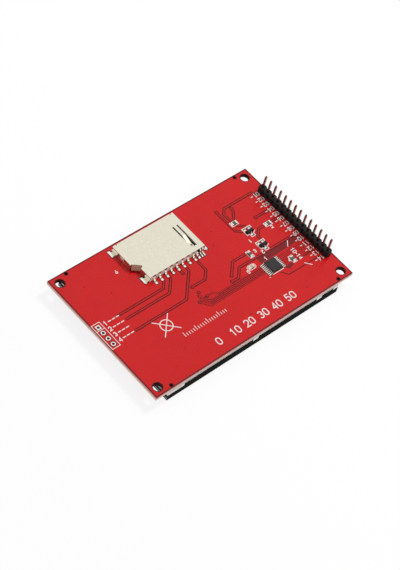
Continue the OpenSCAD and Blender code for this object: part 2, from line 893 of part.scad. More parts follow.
module front_glass() {
    color("#303438") at_screen(front_glass_z) translate([ledge_l / 2, 0, 0])
        plate(glass_l - ledge_l, glass_w, cell_glass_t);
}

module front_polariser() {
    border = gasket_border + fit_gap;
    color("#202024") at_screen(front_glass_z - polariser_t) translate([ledge_l / 2, 0, 0])
        plate(glass_l - ledge_l - 2 * border, glass_w - 2 * border, polariser_t);
}

module driver_chip() {
    color("#404448") at_screen(rear_glass_z - driver_t)
        translate([-glass_l / 2 + driver_from_edge, 0, 0]) plate(driver_w, driver_l, driver_t);
}

// Centre line of a tail that leaves the screen at height z and folds round to the board
function tail_path(z, bond, landing) =
    let (top = board_z - flex_t / 2, r = (top - z) / 2, x = -screen_l / 2 - flex_out)
    concat(
        [[-glass_l / 2 + bond, z]], arc([x, z + r], r, -90, -270, fold_steps),
        [[-glass_l / 2 + landing, top]]
    );

module flex_tail() {
    path = tail_path(rear_glass_z - flex_t / 2, flex_bond, flex_landing);
    color("sienna") at_screen(0) along_y(flex_w) polygon(strip_outline(path, flex_t));
}

module touch_tail() {
    path = tail_path(spacer_z + spacer_t / 2, touch_tail_bond, touch_tail_landing);
    color("peru") at_screen(0) translate([0, touch_tail_y, 0])
        along_y(touch_tail_w) polygon(strip_outline(path, flex_t));
}

module touch_gasket() {
    inner_l = glass_l - ledge_l - 2 * gasket_border;
    color("#161616") at_screen(gasket_z) difference() {
        plate(glass_l, glass_w, gasket_t);
        translate([ledge_l / 2, 0, -tiny])
            plate(inner_l, glass_w - 2 * gasket_border, gasket_t + 2 * tiny);
    }
}

module touch_glass() {
    color("lightsteelblue") at_screen(touch_glass_z) plate(glass_l, glass_w, touch_glass_t);
}

module touch_spacer() {
    color("gray") at_screen(spacer_z) difference() {
        plate(glass_l, glass_w, spacer_t);
        translate([0, 0, -tiny])
            plate(glass_l - 2 * spacer_border, glass_w - 2 * spacer_border, spacer_t + 2 * tiny);
        translate([-glass_l / 2, touch_tail_y, -tiny])
            plate(2 * spacer_border, touch_tail_w + 2 * fit_gap, spacer_t + 2 * tiny);
    }
}

module touch_film() {
    color("slategray") at_screen(0) plate(glass_l, glass_w, film_t);
}

// Black tape round the glass, open at the end where the tails leave, with flaps up the long sides
module edge_tape() {
    flap_l = screen_l - flap_from_flex_end - flap_from_header_end;
    color("#101010") at_screen(0) difference() {
        union() {
            plate(screen_l, screen_w, frame_z);
            translate([(flap_from_flex_end - flap_from_header_end) / 2, 0, 0])
                plate(flap_l, screen_w, tape_z);
        }
        translate([0, 0, -tiny]) plate(glass_l, glass_w, board_z);
        for (d = flap_gaps_from_header_end)
            translate([screen_l / 2 - d, 0, frame_z]) plate(flap_gap_w, 2 * screen_w, board_z);
        translate([-screen_l / 2, 0, -tiny]) plate(2 * wrap_t, 2 * screen_w, board_z);
    }
}

circuit_board();
card_header_holes();
solder_lands();
header_strip();
header_pins();
header_solder();
socket_shell();
socket_housing();
socket_contacts();
socket_switch_contacts();
touch_controller();
touch_controller_leads();
regulator();
regulator_leads();
backlight_transistor();
backlight_transistor_leads();
resistors();
resistor_caps();
capacitor();
capacitor_caps();
mounting_tape();
back_reflector();
backlight_frame();
light_guide();
diffuser_film();
prism_film();
lamp_strip();
backlight_lamps();
rear_polariser();
rear_glass();
front_glass();
front_polariser();
driver_chip();
flex_tail();
touch_gasket();
touch_glass();
touch_spacer();
touch_film();
touch_tail();
edge_tape();
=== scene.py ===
import itertools
import json
import math

import bmesh
import bpy
from mathutils import Matrix, Vector


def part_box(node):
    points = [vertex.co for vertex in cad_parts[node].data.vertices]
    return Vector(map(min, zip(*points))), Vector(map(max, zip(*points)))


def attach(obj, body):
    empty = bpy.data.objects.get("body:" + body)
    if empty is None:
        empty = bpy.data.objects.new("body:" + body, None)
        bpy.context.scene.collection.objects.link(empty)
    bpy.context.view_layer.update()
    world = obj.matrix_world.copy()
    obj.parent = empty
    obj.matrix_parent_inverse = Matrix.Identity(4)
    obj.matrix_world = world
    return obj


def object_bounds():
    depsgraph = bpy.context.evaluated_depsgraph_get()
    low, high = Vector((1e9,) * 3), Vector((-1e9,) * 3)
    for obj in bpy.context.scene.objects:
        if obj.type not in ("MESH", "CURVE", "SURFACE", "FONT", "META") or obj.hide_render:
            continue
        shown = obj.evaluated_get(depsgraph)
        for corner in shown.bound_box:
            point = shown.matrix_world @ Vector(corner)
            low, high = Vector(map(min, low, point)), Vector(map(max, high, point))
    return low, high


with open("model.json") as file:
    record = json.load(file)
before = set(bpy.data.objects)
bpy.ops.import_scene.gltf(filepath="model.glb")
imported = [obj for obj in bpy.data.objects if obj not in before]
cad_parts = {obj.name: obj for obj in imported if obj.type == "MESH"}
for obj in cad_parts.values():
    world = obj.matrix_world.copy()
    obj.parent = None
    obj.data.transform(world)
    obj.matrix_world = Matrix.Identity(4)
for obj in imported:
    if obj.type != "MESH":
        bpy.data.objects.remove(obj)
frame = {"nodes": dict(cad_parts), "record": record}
cad_low, cad_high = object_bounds()

MM = 0.001
BODY = "root"


def srgb(red, green, blue):
    """A colour written 0 to 255 as it shows, as the linear value a shader takes."""
    linear = []
    for value in (red, green, blue):
        c = value / 255
        linear.append(c / 12.92 if c <= 0.04045 else ((c + 0.055) / 1.055) ** 2.4)
    return (*linear, 1)


def shaded(colour, by):
    """The same colour, lighter or darker by a factor."""
    return (*(min(1.0, c * by) for c in colour[:3]), 1)


# ---------------------------------------------------------------- materials


class Recipe:
    """One material's node tree, built a node at a time."""

    def __init__(self, name):
        self.material = bpy.data.materials.new(name)
        self.material.use_nodes = True
        self.tree = self.material.node_tree
        self.tree.nodes.clear()
        self.output = self.add("ShaderNodeOutputMaterial")
        self.shader = self.add("ShaderNodeBsdfPrincipled")
        self.join(self.shader.outputs["BSDF"], self.output.inputs["Surface"])
        self.place = self.add("ShaderNodeTexCoord").outputs["Object"]

    def add(self, kind, **settings):
        """A new node with the given settings."""
        node = self.tree.nodes.new(kind)
        for key, value in settings.items():
            setattr(node, key, value)
        return node

    def join(self, a, b):
        """Links an output to an input."""
        self.tree.links.new(a, b)

    def stretched(self, scale):
        """The place on the object, scaled along each axis."""
        node = self.add("ShaderNodeMapping")
        node.inputs["Scale"].default_value = scale
        self.join(self.place, node.inputs["Vector"])
        return node.outputs["Vector"]

    def noise(self, size_mm, detail=3, rough=0.5, stretch=None):
        """Cloudy variation whose lumps are about size_mm across."""
        node = self.add("ShaderNodeTexNoise")
        node.inputs["Scale"].default_value = 1 / (size_mm * MM)
        node.inputs["Detail"].default_value = detail
        node.inputs["Roughness"].default_value = rough
        self.join(self.stretched(stretch) if stretch else self.place, node.inputs["Vector"])
        return node.outputs["Fac"]

    def ramp(self, value, stops):
        """A colour for each value, blended between the stops."""
        node = self.add("ShaderNodeValToRGB")
        elements = node.color_ramp.elements
        while len(elements) < len(stops):
            elements.new(0.5)
        for element, (at, colour) in zip(elements, stops):
            element.position = at
            element.color = colour
        self.join(value, node.inputs["Fac"])
        return node.outputs["Color"]

    def mottled(self, cloud, colour, dark, light):
        """The colour, darker and lighter by two factors as the cloud has it."""
        return self.ramp(cloud, [(0.3, shaded(colour, dark)), (0.7, shaded(colour, light))])

    def spread(self, value, low, high, start=0.3, end=0.7):
        """A number from low to high as the value goes from start to end."""
        node = self.add("ShaderNodeMapRange")
        node.inputs["From Min"].default_value = start
        node.inputs["From Max"].default_value = end
        node.inputs["To Min"].default_value = low
        node.inputs["To Max"].default_value = high
        self.join(value, node.inputs["Value"])
        return node.outputs["Result"]

    def sums(self, operation, a, b=0.0):
        """One step of arithmetic on outputs or plain numbers."""
        node = self.add("ShaderNodeMath", operation=operation)
        for socket, value in zip(node.inputs, (a, b)):
            if isinstance(value, (int, float)):
                socket.default_value = value
            else:
                self.join(value, socket)
        return node.outputs["Value"]

    def axis(self, name):
        """The place on the object along one axis."""
        node = self.add("ShaderNodeSeparateXYZ")
        self.join(self.place, node.inputs["Vector"])
        return node.outputs[name]

    def blend(self, share, a, b):
        """Colour a, or b where the share is 1."""
        node = self.add("ShaderNodeMix", data_type="RGBA")
        self.join(share, node.inputs["Factor"])
        for socket, value in ((node.inputs[6], a), (node.inputs[7], b)):
            if isinstance(value, tuple):
                socket.default_value = value
            else:
                self.join(value, socket)
        return node.outputs[2]

    def bump(self, height, distance_mm):
        """Relief of the given depth on the surface."""
        node = self.add("ShaderNodeBump")
        node.inputs["Distance"].default_value = distance_mm * MM
        node.inputs["Strength"].default_value = 1.0
        self.join(height, node.inputs["Height"])
        self.join(node.outputs["Normal"], self.shader.inputs["Normal"])

    def set(self, **values):
        """Sets or links inputs of the shader by their names."""
        for key, value in values.items():
            socket = self.shader.inputs[key.replace("_", " ")]
            if isinstance(value, (int, float, tuple)):
                socket.default_value = value
            else:
                self.join(value, socket)


def mask(name, colour, rough):
    """Solder mask: a glossy lacquer that follows the weave of the board below it."""
    r = Recipe(name)
    clouds = r.noise(9, detail=4, rough=0.6)
    r.set(
        Base_Color=r.mottled(clouds, colour, 0.97, 1.04),
        Roughness=r.spread(r.noise(3), rough - 0.05, rough + 0.07),
        Specular_IOR_Level=0.26,
    )
    r.bump(r.noise(0.55, detail=2), 0.004)
    return r.material


def moulded(name, colour, rough, spot_mm=0.25, bump_mm=0.006, specular=0.35):
    """Moulded plastic with the fine grain of its tool."""
    r = Recipe(name)
    grain = r.noise(spot_mm, detail=4, rough=0.65)
    r.set(
        Base_Color=r.mottled(grain, colour, 0.82, 1.15),
        Roughness=r.spread(r.noise(spot_mm * 4), rough - 0.06, rough + 0.08),
        Specular_IOR_Level=specular,
    )
    r.bump(grain, bump_mm)
    return r.material


def plated(name, colour, rough, stretch=None, grain_mm=0.6, bump_mm=0.002):
    """Plated metal, with rolling streaks where the stretch gives them."""
    r = Recipe(name)
    streaks = r.noise(grain_mm, detail=5, rough=0.6, stretch=stretch)
    r.set(
        Base_Color=r.mottled(streaks, colour, 0.94, 1.04),
        Roughness=r.spread(streaks, rough - 0.05, rough + 0.08),
        Metallic=1.0,
    )
    r.bump(streaks, bump_mm)
    return r.material


def film(name, colour, rough, specular=0.5):
    """Thin smooth plastic film or tape."""
    r = Recipe(name)
    haze = r.noise(6, detail=3)
    r.set(
        Base_Color=r.mottled(haze, colour, 0.92, 1.06),
        Roughness=r.spread(r.noise(1.5), rough - 0.04, rough + 0.06),
        Specular_IOR_Level=specular,
    )
    r.bump(r.noise(2.5, detail=2), 0.003)
    return r.material


# How much of the laminate's tint comes from its plies, the rest from the height
PLY_SHARE = 0.3


def laminate(name, low, high):
    """Sawn edge of glass epoxy: pale, redder towards the upper lacquer, plies along the edge."""
    r = Recipe(name)
    plies = r.noise(0.28, detail=4, rough=0.6, stretch=(0.06, 0.06, 1))
    rise = r.spread(r.axis("Z"), -PLY_SHARE / 2, 1 - PLY_SHARE / 2, start=low, end=high)
    tint = r.sums("ADD", rise, r.sums("MULTIPLY", plies, PLY_SHARE))
    pale, pink, red = srgb(252, 226, 216), srgb(230, 180, 172), srgb(160, 62, 58)
    r.set(
        Base_Color=r.ramp(tint, [(0.1, pale), (0.5, pink), (1.0, red)]),
        Roughness=r.spread(plies, 0.58, 0.68),
    )
    r.bump(plies, 0.01)
    return r.material


def clear(name, colour):
    """Clear glass or acrylic, faintly uneven."""
    r = Recipe(name)
    haze = r.noise(12, detail=2)
    r.set(
        Base_Color=r.mottled(haze, colour, 0.96, 1.0),
        Roughness=r.spread(haze, 0.05, 0.09),
        Transmission_Weight=0.85,
        IOR=1.49,
    )
    r.bump(haze, 0.002)
    return r.material


def silk_ink(name):
    """Screen-printed ink, a little worn and uneven."""
    r = Recipe(name)
    speck = r.noise(0.18, detail=3, rough=0.7)
    r.set(
        Base_Color=r.ramp(speck, [(0.3, srgb(222, 200, 196)), (0.62, srgb(244, 232, 228))]),
        Roughness=0.48,
        Specular_IOR_Level=0.3,
    )
    r.bump(speck, 0.006)
    return r.material


# The copper lines of a tail, and the share of their pitch between two of them
TAIL_LINE_PITCH = 0.5 * MM
TAIL_LINE_GAP = 0.45


def flexible_circuit(name):
    """Amber film over fine copper lines that run along the tail."""
    r = Recipe(name)
    across = r.sums("MULTIPLY", r.axis("Y"), 1 / TAIL_LINE_PITCH)
    copper = r.sums("GREATER_THAN", r.sums("FRACT", across), TAIL_LINE_GAP)
    r.set(
        Base_Color=r.blend(copper, srgb(118, 66, 18), srgb(176, 104, 34)),
        Roughness=r.spread(r.noise(1.2), 0.24, 0.38),
    )
    r.bump(copper, 0.006)
    return r.material


def touch_face(name, low, high, border):
    """Clear film over a dark screen: a near-black border round a grey viewing area."""
    r = Recipe(name)
    beyond = []
    for axis, start, end in zip("XY", low, high):
        off_centre = r.sums("ABSOLUTE", r.sums("SUBTRACT", r.axis(axis), (end + start) / 2))
        beyond.append(r.sums("GREATER_THAN", off_centre, (end - start) / 2 - border))
    haze = r.noise(14, detail=3)
    glow = r.ramp(haze, [(0.3, srgb(76, 80, 86)), (0.7, srgb(81, 85, 92))])
    r.set(
        Base_Color=r.blend(r.sums("MAXIMUM", *beyond), glow, srgb(18, 18, 20)),
        Roughness=r.spread(r.noise(4), 0.07, 0.13),
        Coat_Weight=0.5,
        Coat_Roughness=0.05,
    )
    r.bump(r.noise(8, detail=2), 0.003)
    return r.material


BOARD_RED = srgb(199, 22, 24)
BARE_RED = srgb(120, 22, 24)
GROOVE_RED = srgb(62, 6, 10)
RIM_RED = srgb(96, 14, 18)

red_mask = mask("mask_over_copper", BOARD_RED, 0.24)
bare_mask = mask("mask_over_laminate", BARE_RED, 0.3)
groove_mask = mask("mask_beside_tracks", GROOVE_RED, 0.4)
rim_mask = mask("mask_at_the_rim", RIM_RED, 0.4)
board_edge = laminate("laminate_edge", *(corner.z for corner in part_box("circuit_board")))
white_ink = silk_ink("white_ink")
tin = plated("tin", srgb(238, 234, 226), 0.22)
solder = plated("solder", srgb(244, 242, 236), 0.22, grain_mm=0.4)
shell_metal = plated("shell_metal", srgb(229, 224, 206), 0.15, grain_mm=0.9, bump_mm=0.0005)
# The folded flap of the shell: the same metal, darkened as a painted dark reflection
fold_metal = plated("fold_metal", srgb(212, 192, 164), 0.25, grain_mm=0.9)
# The inside of the shell and the hollow of the tongue's dimple: painted shade on the plated metal
inner_metal = plated("inner_metal", srgb(84, 74, 56), 0.45, grain_mm=0.9)
tab_metal = plated("tab_metal", srgb(232, 228, 214), 0.42, grain_mm=0.4)
contact_metal = plated("contact_metal", srgb(248, 243, 232), 0.16)
lead_metal = plated("lead_metal", srgb(236, 233, 228), 0.22)
# The header's pins: gold metal darkened to brown, as a painted dark reflection
pin_metal = plated("pin_metal", srgb(132, 92, 84), 0.3, stretch=(1, 1, 0.1), grain_mm=0.3)
strip_plastic = moulded("strip_plastic", srgb(27, 25, 25), 0.5, specular=0.22)
package_plastic = moulded("package_plastic", srgb(42, 43, 42), 0.55, spot_mm=0.12)
small_package = moulded("small_package", srgb(34, 30, 27), 0.5, spot_mm=0.12, specular=0.25)
housing_plastic = moulded("housing_plastic", srgb(246, 242, 226), 0.5)
# The floor of the card slot and the notches over the contacts: painted shade on the cream housing
recess_plastic = moulded("recess_plastic", srgb(74, 66, 48), 0.6, specular=0.2)
resistor_glaze = moulded("resistor_glaze", srgb(84, 86, 72), 0.35, spot_mm=0.2, specular=0.5)
ceramic = moulded("ceramic", srgb(186, 168, 134), 0.5, spot_mm=0.15)
white_foam = moulded("white_foam", srgb(226, 226, 222), 0.8, spot_mm=0.3, bump_mm=0.03)
white_plastic = moulded("white_plastic", srgb(234, 233, 228), 0.45, spot_mm=0.5)
black_tape = film("black_tape", srgb(23, 23, 20), 0.6, specular=0.01)
# The walls of the board's holes: painted shade, darker than the laminate is
hole_wall = moulded("hole_wall", srgb(66, 30, 26), 0.8, spot_mm=0.2, bump_mm=0.02, specular=0.1)
barrel_wall = moulded("barrel_wall", srgb(96, 92, 80), 0.5, spot_mm=0.2)
white_film = film("white_film", srgb(236, 238, 240), 0.35)
dark_film = film("dark_film", srgb(30, 30, 34), 0.2)
bare_silicon = film("bare_silicon", srgb(78, 82, 88), 0.15)
lamp_film = film("lamp_film", srgb(220, 205, 150), 0.4)
lamp_body = film("lamp_body", srgb(238, 226, 150), 0.3)
display_glass = clear("display_glass", srgb(110, 116, 122))
light_plate = clear("light_plate", srgb(240, 246, 250))
touch_panel = clear("touch_panel", srgb(225, 232, 236))
amber_tail = flexible_circuit("amber_tail")

face_low, face_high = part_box("touch_film")
SCREEN_RIM = 4.2 * MM
screen_face = touch_face("screen_face", face_low, face_high, SCREEN_RIM)

# The nodes that have one finish; the other four get several below
FINISHES = {
    "solder_lands": tin,
    "header_strip": strip_plastic,
    "header_pins": pin_metal,
    "header_solder": solder,
    "socket_contacts": contact_metal,
    "socket_switch_contacts": contact_metal,
    "touch_controller": package_plastic,
    "touch_controller_leads": lead_metal,
    "regulator": small_package,
    "regulator_leads": lead_metal,
    "backlight_transistor": small_package,
    "backlight_transistor_leads": lead_metal,
    "resistors": resistor_glaze,
    "resistor_caps": lead_metal,
    "capacitor": ceramic,
    "capacitor_caps": lead_metal,
    "mounting_tape": white_foam,
    "back_reflector": white_film,
    "backlight_frame": white_plastic,
    "light_guide": light_plate,
    "diffuser_film": white_film,
    "prism_film": white_film,
    "lamp_strip": lamp_film,
    "backlight_lamps": lamp_body,
    "rear_polariser": dark_film,
    "rear_glass": display_glass,
    "front_glass": display_glass,
    "front_polariser": dark_film,
    "driver_chip": bare_silicon,
    "flex_tail": amber_tail,
    "touch_gasket": black_tape,
    "touch_glass": touch_panel,
    "touch_spacer": black_tape,
    "touch_film": screen_face,
    "touch_tail": amber_tail,
    "edge_tape": black_tape,
}
for node, finish in FINISHES.items():
    materials = frame["nodes"][node].data.materials
    materials.clear()
    materials.append(finish)


def refinish(node, finishes, choose):
    """Gives a CAD node more finishes, one for each face as choose(face) numbers them."""
    mesh = frame["nodes"][node].data
    mesh.materials.clear()
    for finish in finishes:
        mesh.materials.append(finish)
    for face in mesh.polygons:
        face.material_index = choose(face)


# Where a node's finish changes. On the board: how near the outline a sawn face is. On the shell: how
# high the soldered tabs are, and how far below its top the inside starts. On the housing: how high
# the floor of the slot is, and how high and how far from the rear the notches over the contacts are
AT_OUTLINE = 0.01 * MM
TAB_H = 0.6 * MM
INSIDE = 0.15 * MM
FLOOR_H = 1.0 * MM
NOTCH_H = 1.7 * MM
NOTCH_REACH = 2.1 * MM
# How far a face's normal leans along an axis that it faces, and along both axes of a slanted flap
FACING = 0.5
SLANTED = 0.3

board_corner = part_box("circuit_board")[1]
shell_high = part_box("socket_shell")[1]
housing_low, housing_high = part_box("socket_housing")


def board_finish(face):
    """Lacquer above and below, sawn laminate round the outline, painted shade on the walls of the
    holes.
    """
    if abs(face.normal.z) > FACING:
        return 0
    inside = min(board_corner.x - abs(face.center.x), board_corner.y - abs(face.center.y))
    return 1 if inside < AT_OUTLINE else 2


def barrel_finish(face):
    """Tinned rims, dull walls."""
    return int(abs(face.normal.z) < FACING)


def shell_finish(face):
    """Bright outside, painted shade inside and a painted dark reflection on the folded flap, tinned
    on the soldered tabs.
    """
    if face.center.z < board_corner.z + TAB_H:
        return 3
    if min(abs(face.normal.x), abs(face.normal.y)) > SLANTED:
        return 1
    within = face.center.z < shell_high.z - INSIDE
    return 2 if within and face.normal.z < -FACING else 0


def housing_finish(face):
    """Cream outside, with painted shade on the floor of the slot and in the notches over the
    contacts.
    """
    rise = face.center.z - board_corner.z
    if face.normal.z > FACING and rise < FLOOR_H:
        return 1
    at_rear = face.center.y < housing_low.y + NOTCH_REACH
    in_wall = at_rear and rise > NOTCH_H and face.center.z < housing_high.z - INSIDE
    return int(in_wall and (abs(face.normal.x) > FACING or face.normal.z > FACING))


refinish("circuit_board", (red_mask, board_edge, hole_wall), board_finish)
refinish("card_header_holes", (tin, barrel_wall), barrel_finish)
refinish("socket_shell", (shell_metal, fold_metal, inner_metal, tab_metal), shell_finish)
refinish("socket_housing", (housing_plastic, recess_plastic), housing_finish)


# Corners this near to each other are joined
WELD_REACH = 0.001 * MM


def soften(node, width_mm, angle=35):
    """Rounds a CAD node's sharp edges a little, as moulding and plating leave them."""
    obj = frame["nodes"][node]
    weld = obj.modifiers.new("weld", "WELD")
    weld.merge_threshold = WELD_REACH
    bevel = obj.modifiers.new("soft_edges", "BEVEL")
    bevel.width = width_mm * MM
    bevel.segments = 2
    bevel.limit_method = "ANGLE"
    bevel.angle_limit = math.radians(angle)
    bevel.harden_normals = True


soften("header_strip", 0.09)
soften("touch_controller", 0.06, angle=20)
for package in ("regulator", "backlight_transistor"):
    soften(package, 0.05, angle=20)
for chip_node in ("resistors", "resistor_caps", "capacitor", "capacitor_caps"):
    soften(chip_node, 0.03)

# ---------------------------------------------------------------- shapes, in millimetres

# Every flat shape ends up to four hairs higher, in turn, so that no faces coincide where they cross
HAIR = 0.003
HAIRS = itertools.cycle(range(5))
# A mitre grows no further once the cosine of half its bend is down to this
MITRE_LIMIT = 0.4


def around(centre, radius, sides=24, start=0.0, sweep=360.0):
    """Points of a circle, or of an arc, both ends included where it is open."""
    whole = abs(sweep) >= 360
    steps = sides if whole else sides + 1
    angles = [math.radians(start + sweep * i / sides) for i in range(steps)]
    return [(centre[0] + radius * math.cos(a), centre[1] + radius * math.sin(a)) for a in angles]


def box_line(x0, y0, x1, y1):
    """The corners of a rectangle, in turn."""
    return [(x0, y0), (x1, y0), (x1, y1), (x0, y1)]


class Layer:
    """Flat shapes between two heights, drawn into a mesh of their own or another layer's."""

    def __init__(self, low, high, bm=None):
        self.bm = bmesh.new() if bm is None else bm
        self.low = low
        self.high = high

    def strip(self, points, width, closed=False):
        """A flat bar of one width along a line of points, mitred at its corners."""
        top = self.high + HAIR * next(HAIRS)
        line = [Vector(p) for p in points]
        count = len(line)
        rings = []
        for i, p in enumerate(line):
            before = (p - line[i - 1]).normalized() if i > 0 or closed else None
            after = (line[(i + 1) % count] - p).normalized() if i < count - 1 or closed else None
            before = before or after
            after = after or before
            mean = (before + after).normalized()
            side = Vector((-mean.y, mean.x))
            square = Vector((-after.y, after.x))
            reach = side * (width / 2 / max(MITRE_LIMIT, side.dot(square)))
            a, b = p + reach, p - reach
            corners = ((a, self.low), (b, self.low), (b, top), (a, top))
            rings.append([self.bm.verts.new((c.x, c.y, z)) for c, z in corners])
        for i in range(count if closed else count - 1):
            near, far = rings[i], rings[(i + 1) % count]
            for k in range(4):
                n = (k + 1) % 4
                self.bm.faces.new((near[k], near[n], far[n], far[k]))
        if not closed:
            self.bm.faces.new(rings[0])
            self.bm.faces.new(rings[-1])

    def prism(self, outline):
        """A flat plate with the given outline."""
        top = self.high + HAIR * next(HAIRS)
        lower = [self.bm.verts.new((x, y, self.low)) for x, y in outline]
        upper = [self.bm.verts.new((x, y, top)) for x, y in outline]
        self.bm.faces.new(lower)
        self.bm.faces.new(upper)
        for i in range(len(outline)):
            n = (i + 1) % len(outline)
            self.bm.faces.new((lower[i], lower[n], upper[n], upper[i]))

    def disc(self, centre, radius, sides=20):
        """A flat round plate."""
        self.prism(around(centre, radius, sides))

    def ring(self, centre, inner, outer, sides=32):
        """A flat band between two radii."""
        midline = around(centre, (inner + outer) / 2, sides)
        self.strip(midline, outer - inner, closed=True)

    def pen(self, points, width, closed=False):
        """A drawn line with round ends."""
        self.strip(points, width, closed)
        if not closed:
            for end in (points[0], points[-1]):
                self.disc(end, width / 2, sides=10)


def new_piece(name, bm, material, smooth=False):
    """Makes the piece from shapes drawn in millimetres, and lets it ride on the part."""
    bmesh.ops.recalc_face_normals(bm, faces=bm.faces)
    bmesh.ops.scale(bm, vec=(MM, MM, MM), verts=bm.verts)
    mesh = bpy.data.meshes.new(name)
    bm.to_mesh(mesh)
    bm.free()
    mesh.materials.append(material)
    if smooth:
        mesh.shade_smooth()
    obj = bpy.data.objects.new(name, mesh)
    bpy.context.scene.collection.objects.link(obj)
    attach(obj, BODY)


def box_mm(node):
    """The lower and upper corner of a CAD node, in millimetres."""
    return [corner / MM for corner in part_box(node)]


def islands(node):
    """The box of each separate solid of a CAD node, as (low, high) in millimetres."""
    bm = bmesh.new()
    bm.from_mesh(frame["nodes"][node].data)
    bmesh.ops.remove_doubles(bm, verts=bm.verts, dist=WELD_REACH)
    left = set(bm.verts)
    boxes = []
    while left:
        group, queue = [], [left.pop()]
        while queue:
            v = queue.pop()
            group.append(v.co / MM)
            for edge in v.link_edges:
                other = edge.other_vert(v)
                if other in left:
                    left.discard(other)
                    queue.append(other)
        low = Vector([min(c[i] for c in group) for i in range(3)])
        high = Vector([max(c[i] for c in group) for i in range(3)])
        boxes.append((low, high))
    bm.free()
    return sorted(boxes, key=lambda b: (round(b[0].x, 3), round(b[0].y, 3)))


def middle(low, high):
    """The centre of a box, seen from above."""
    return Vector(((low.x + high.x) / 2, (low.y + high.y) / 2))


# How thick each layer on the board is, the later ones over the earlier
BARE_T = 0.002
GAP_T = 0.018
VIA_T = 0.034
TRACK_T = 0.05
LAP_T = 0.06
INK_T = 0.075

board_low, board_high = box_mm("circuit_board")
TOP = board_high.z
bare = Layer(TOP, TOP + BARE_T)
gaps = Layer(TOP, TOP + GAP_T)
rim = Layer(TOP, TOP + GAP_T)
via_dots = Layer(TOP, TOP + VIA_T)
tracks = Layer(TOP, TOP + TRACK_T)
laps = Layer(TOP, TOP + LAP_T, tracks.bm)
ink = Layer(TOP, TOP + INK_T)

# ---------------------------------------------------------------- tracks under the mask

# A track, both grooves with the track between them, and the groove that shows on one side of it
TRACK_W = 0.42
TRACK_GAP_W = 1.08
GROOVE_W = (TRACK_GAP_W - TRACK_W) / 2
# A closed hole, and its ring's inner radius and dark middle as shares of its radius
VIA_R = 0.42
VIA_HOLE_SHARE = 0.42
VIA_DOT_SHARE = 0.45

header_side = box_mm("header_strip")[0].x
contact_feet = [(low.x + high.x) / 2 for low, high in islands("socket_contacts")]
foot_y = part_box("socket_contacts")[0].y / MM

# Each single track: its points, then whether it ends in a hole through the board
TRACKS = [
    ([(-34.5, 3.9), (-14.5, 3.9), (contact_feet[1], 6.2), (contact_feet[1], foot_y)], False),
    ([(-33, 1.3), (-14, 1.3), (contact_feet[2], 5.5), (contact_feet[2], foot_y)], False),
    ([(-33.5, -3.85), (-11, -3.85), (contact_feet[5], 4.8), (contact_feet[5], foot_y)], False),
    ([(contact_feet[4], foot_y), (contact_feet[4], 5.1)], True),
    ([(contact_feet[7], foot_y), (contact_feet[7], 1.8), (-0.2, -1.1), (-5.9, -1.1)], True),
    ([(19.2, -0.8), (12.7, -0.8), (8.4, -5.0)], True),
    ([(38.5, -3.9), (12.9, -3.9), (9.8, -7), (6.9, -6.9)], True),
    ([(40.4, 16.4), (38.8, 18.1), (25.9, 18.1), (24, 16.2), (24, 12.3)], False),
    ([(25.2, 12.4), (27.6, 15.2), (28.1, 16.8)], True),
    ([(26.0, 6.8), (24.4, 7.0), (22.4, 8.7), (22.4, 18.2)], True),
    ([(24.3, 10.2), (27.2, 7.9)], False),
    ([(40.9, 9), (32.6, 9.1)], True),
    ([(32.9, 4.8), (30.1, 4.8), (27.7, 2.6), (27.7, 0.6)], False),
    ([(36.0, 4.8), (40.9, 4.8)], False),
    ([(26.5, -3.2), (26.5, -3.9)], False),
]

# Thin tracks from the controller's left side, that turn up and end in curled rows of holes
BUNDLE_PITCH = 0.6
BUNDLE_TOP = -8.0
BUNDLE_RIGHT = 19.4
BUNDLE_W = 0.3
THIN_GAP_W = 0.62
THIN_VIA_R = 0.34
BUNDLE_ENDS = [
    [(-1.6, -6.6), (-4.2, -6.6)],
    [(-4.6, -7.7), (-5.3, -7.0)],
    [(-5.5, -7.8), (-6.2, -6.9), (-6.2, -5.6), (-5.7, -4.0)],
    [(-6.0, -8.4), (-7.0, -7.2), (-7.0, -6.0), (-6.4, -5.2)],
    [(-5.7, -10.2), (-7.6, -8.0), (-8.1, -7.2)],
]

# Tracks from the controller's right side to the header, and a lone groove below them
FAN_LEFT = 27.2
FAN_RIGHT = 40.4
FAN_ROWS = [-7.6, -8.3, -8.9, -9.6, -10.3, -11.0, -11.7]
LONE_GROOVE = [(23.6, -13.1), (25.4, -15.6), (35.3, -15.7), (39.6, -15.7)]

# Parts of the board left without copper: a band above the controller, a wedge at its lower right
BARE_PARTS = [
    box_line(20.6, -6.75, 40.2, -4.35),
    [(26.4, -12.7), (28.6, -12.3), (40.2, -12.3), (40.2, -12.9), (31, -13.1), (27.4, -14)],
]

# The mask opens round every land, and laps over the lands of the chips
LAND_CLEARANCE = 0.22
CHIP_OPENING = (2.6, 1.32)
MASK_LAP = 0.34

# Grooves round the card header's plated holes, and a little off the walls of the other holes
CARD_RING_R = 0.85
HOLE_CLEARANCE = 0.28
WALL_GAP = 0.02
# The four locating holes beside the corner holes
LOCATING_PITCH = 76.1
LOCATING_SHIFT = 0.5
LOCATING_INSET = 1.0
LOCATING_R = 0.5

# The rim round the outline, where the copper stops short of the edge
RIM_W = 0.42

# Specks in the lacquer, and a patch of pimples set out as a spiral
SPECKS = [(11.7, 8.0), (27, -23), (15.5, 13), (-30, 12), (-24, -18), (3.2, -20.5), (-36, 19)]
SPECK_R = 0.2
PIMPLES = 14
PIMPLE_AT = (-22, -19.5)
PIMPLE_REACH = 7.5
PIMPLE_STRETCH = (1.5, 0.6)
PIMPLE_R = 0.16
PIMPLE_GROWTH = 0.05
GOLDEN_ANGLE = 2.4

# The centre of each resistor and the capacitor, and whether it lies across the board
CHIPS = [
    (middle(low, high), high.y - low.y > high.x - low.x)
    for node in ("resistors", "capacitor")
    for low, high in islands(node)
]


def over_chip(chip, size):
    """The outline of a box of a given length and width, laid over a chip."""
    centre, across = chip
    half = Vector(size[::-1] if across else size) / 2
    return box_line(centre.x - half.x, centre.y - half.y, centre.x + half.x, centre.y + half.y)


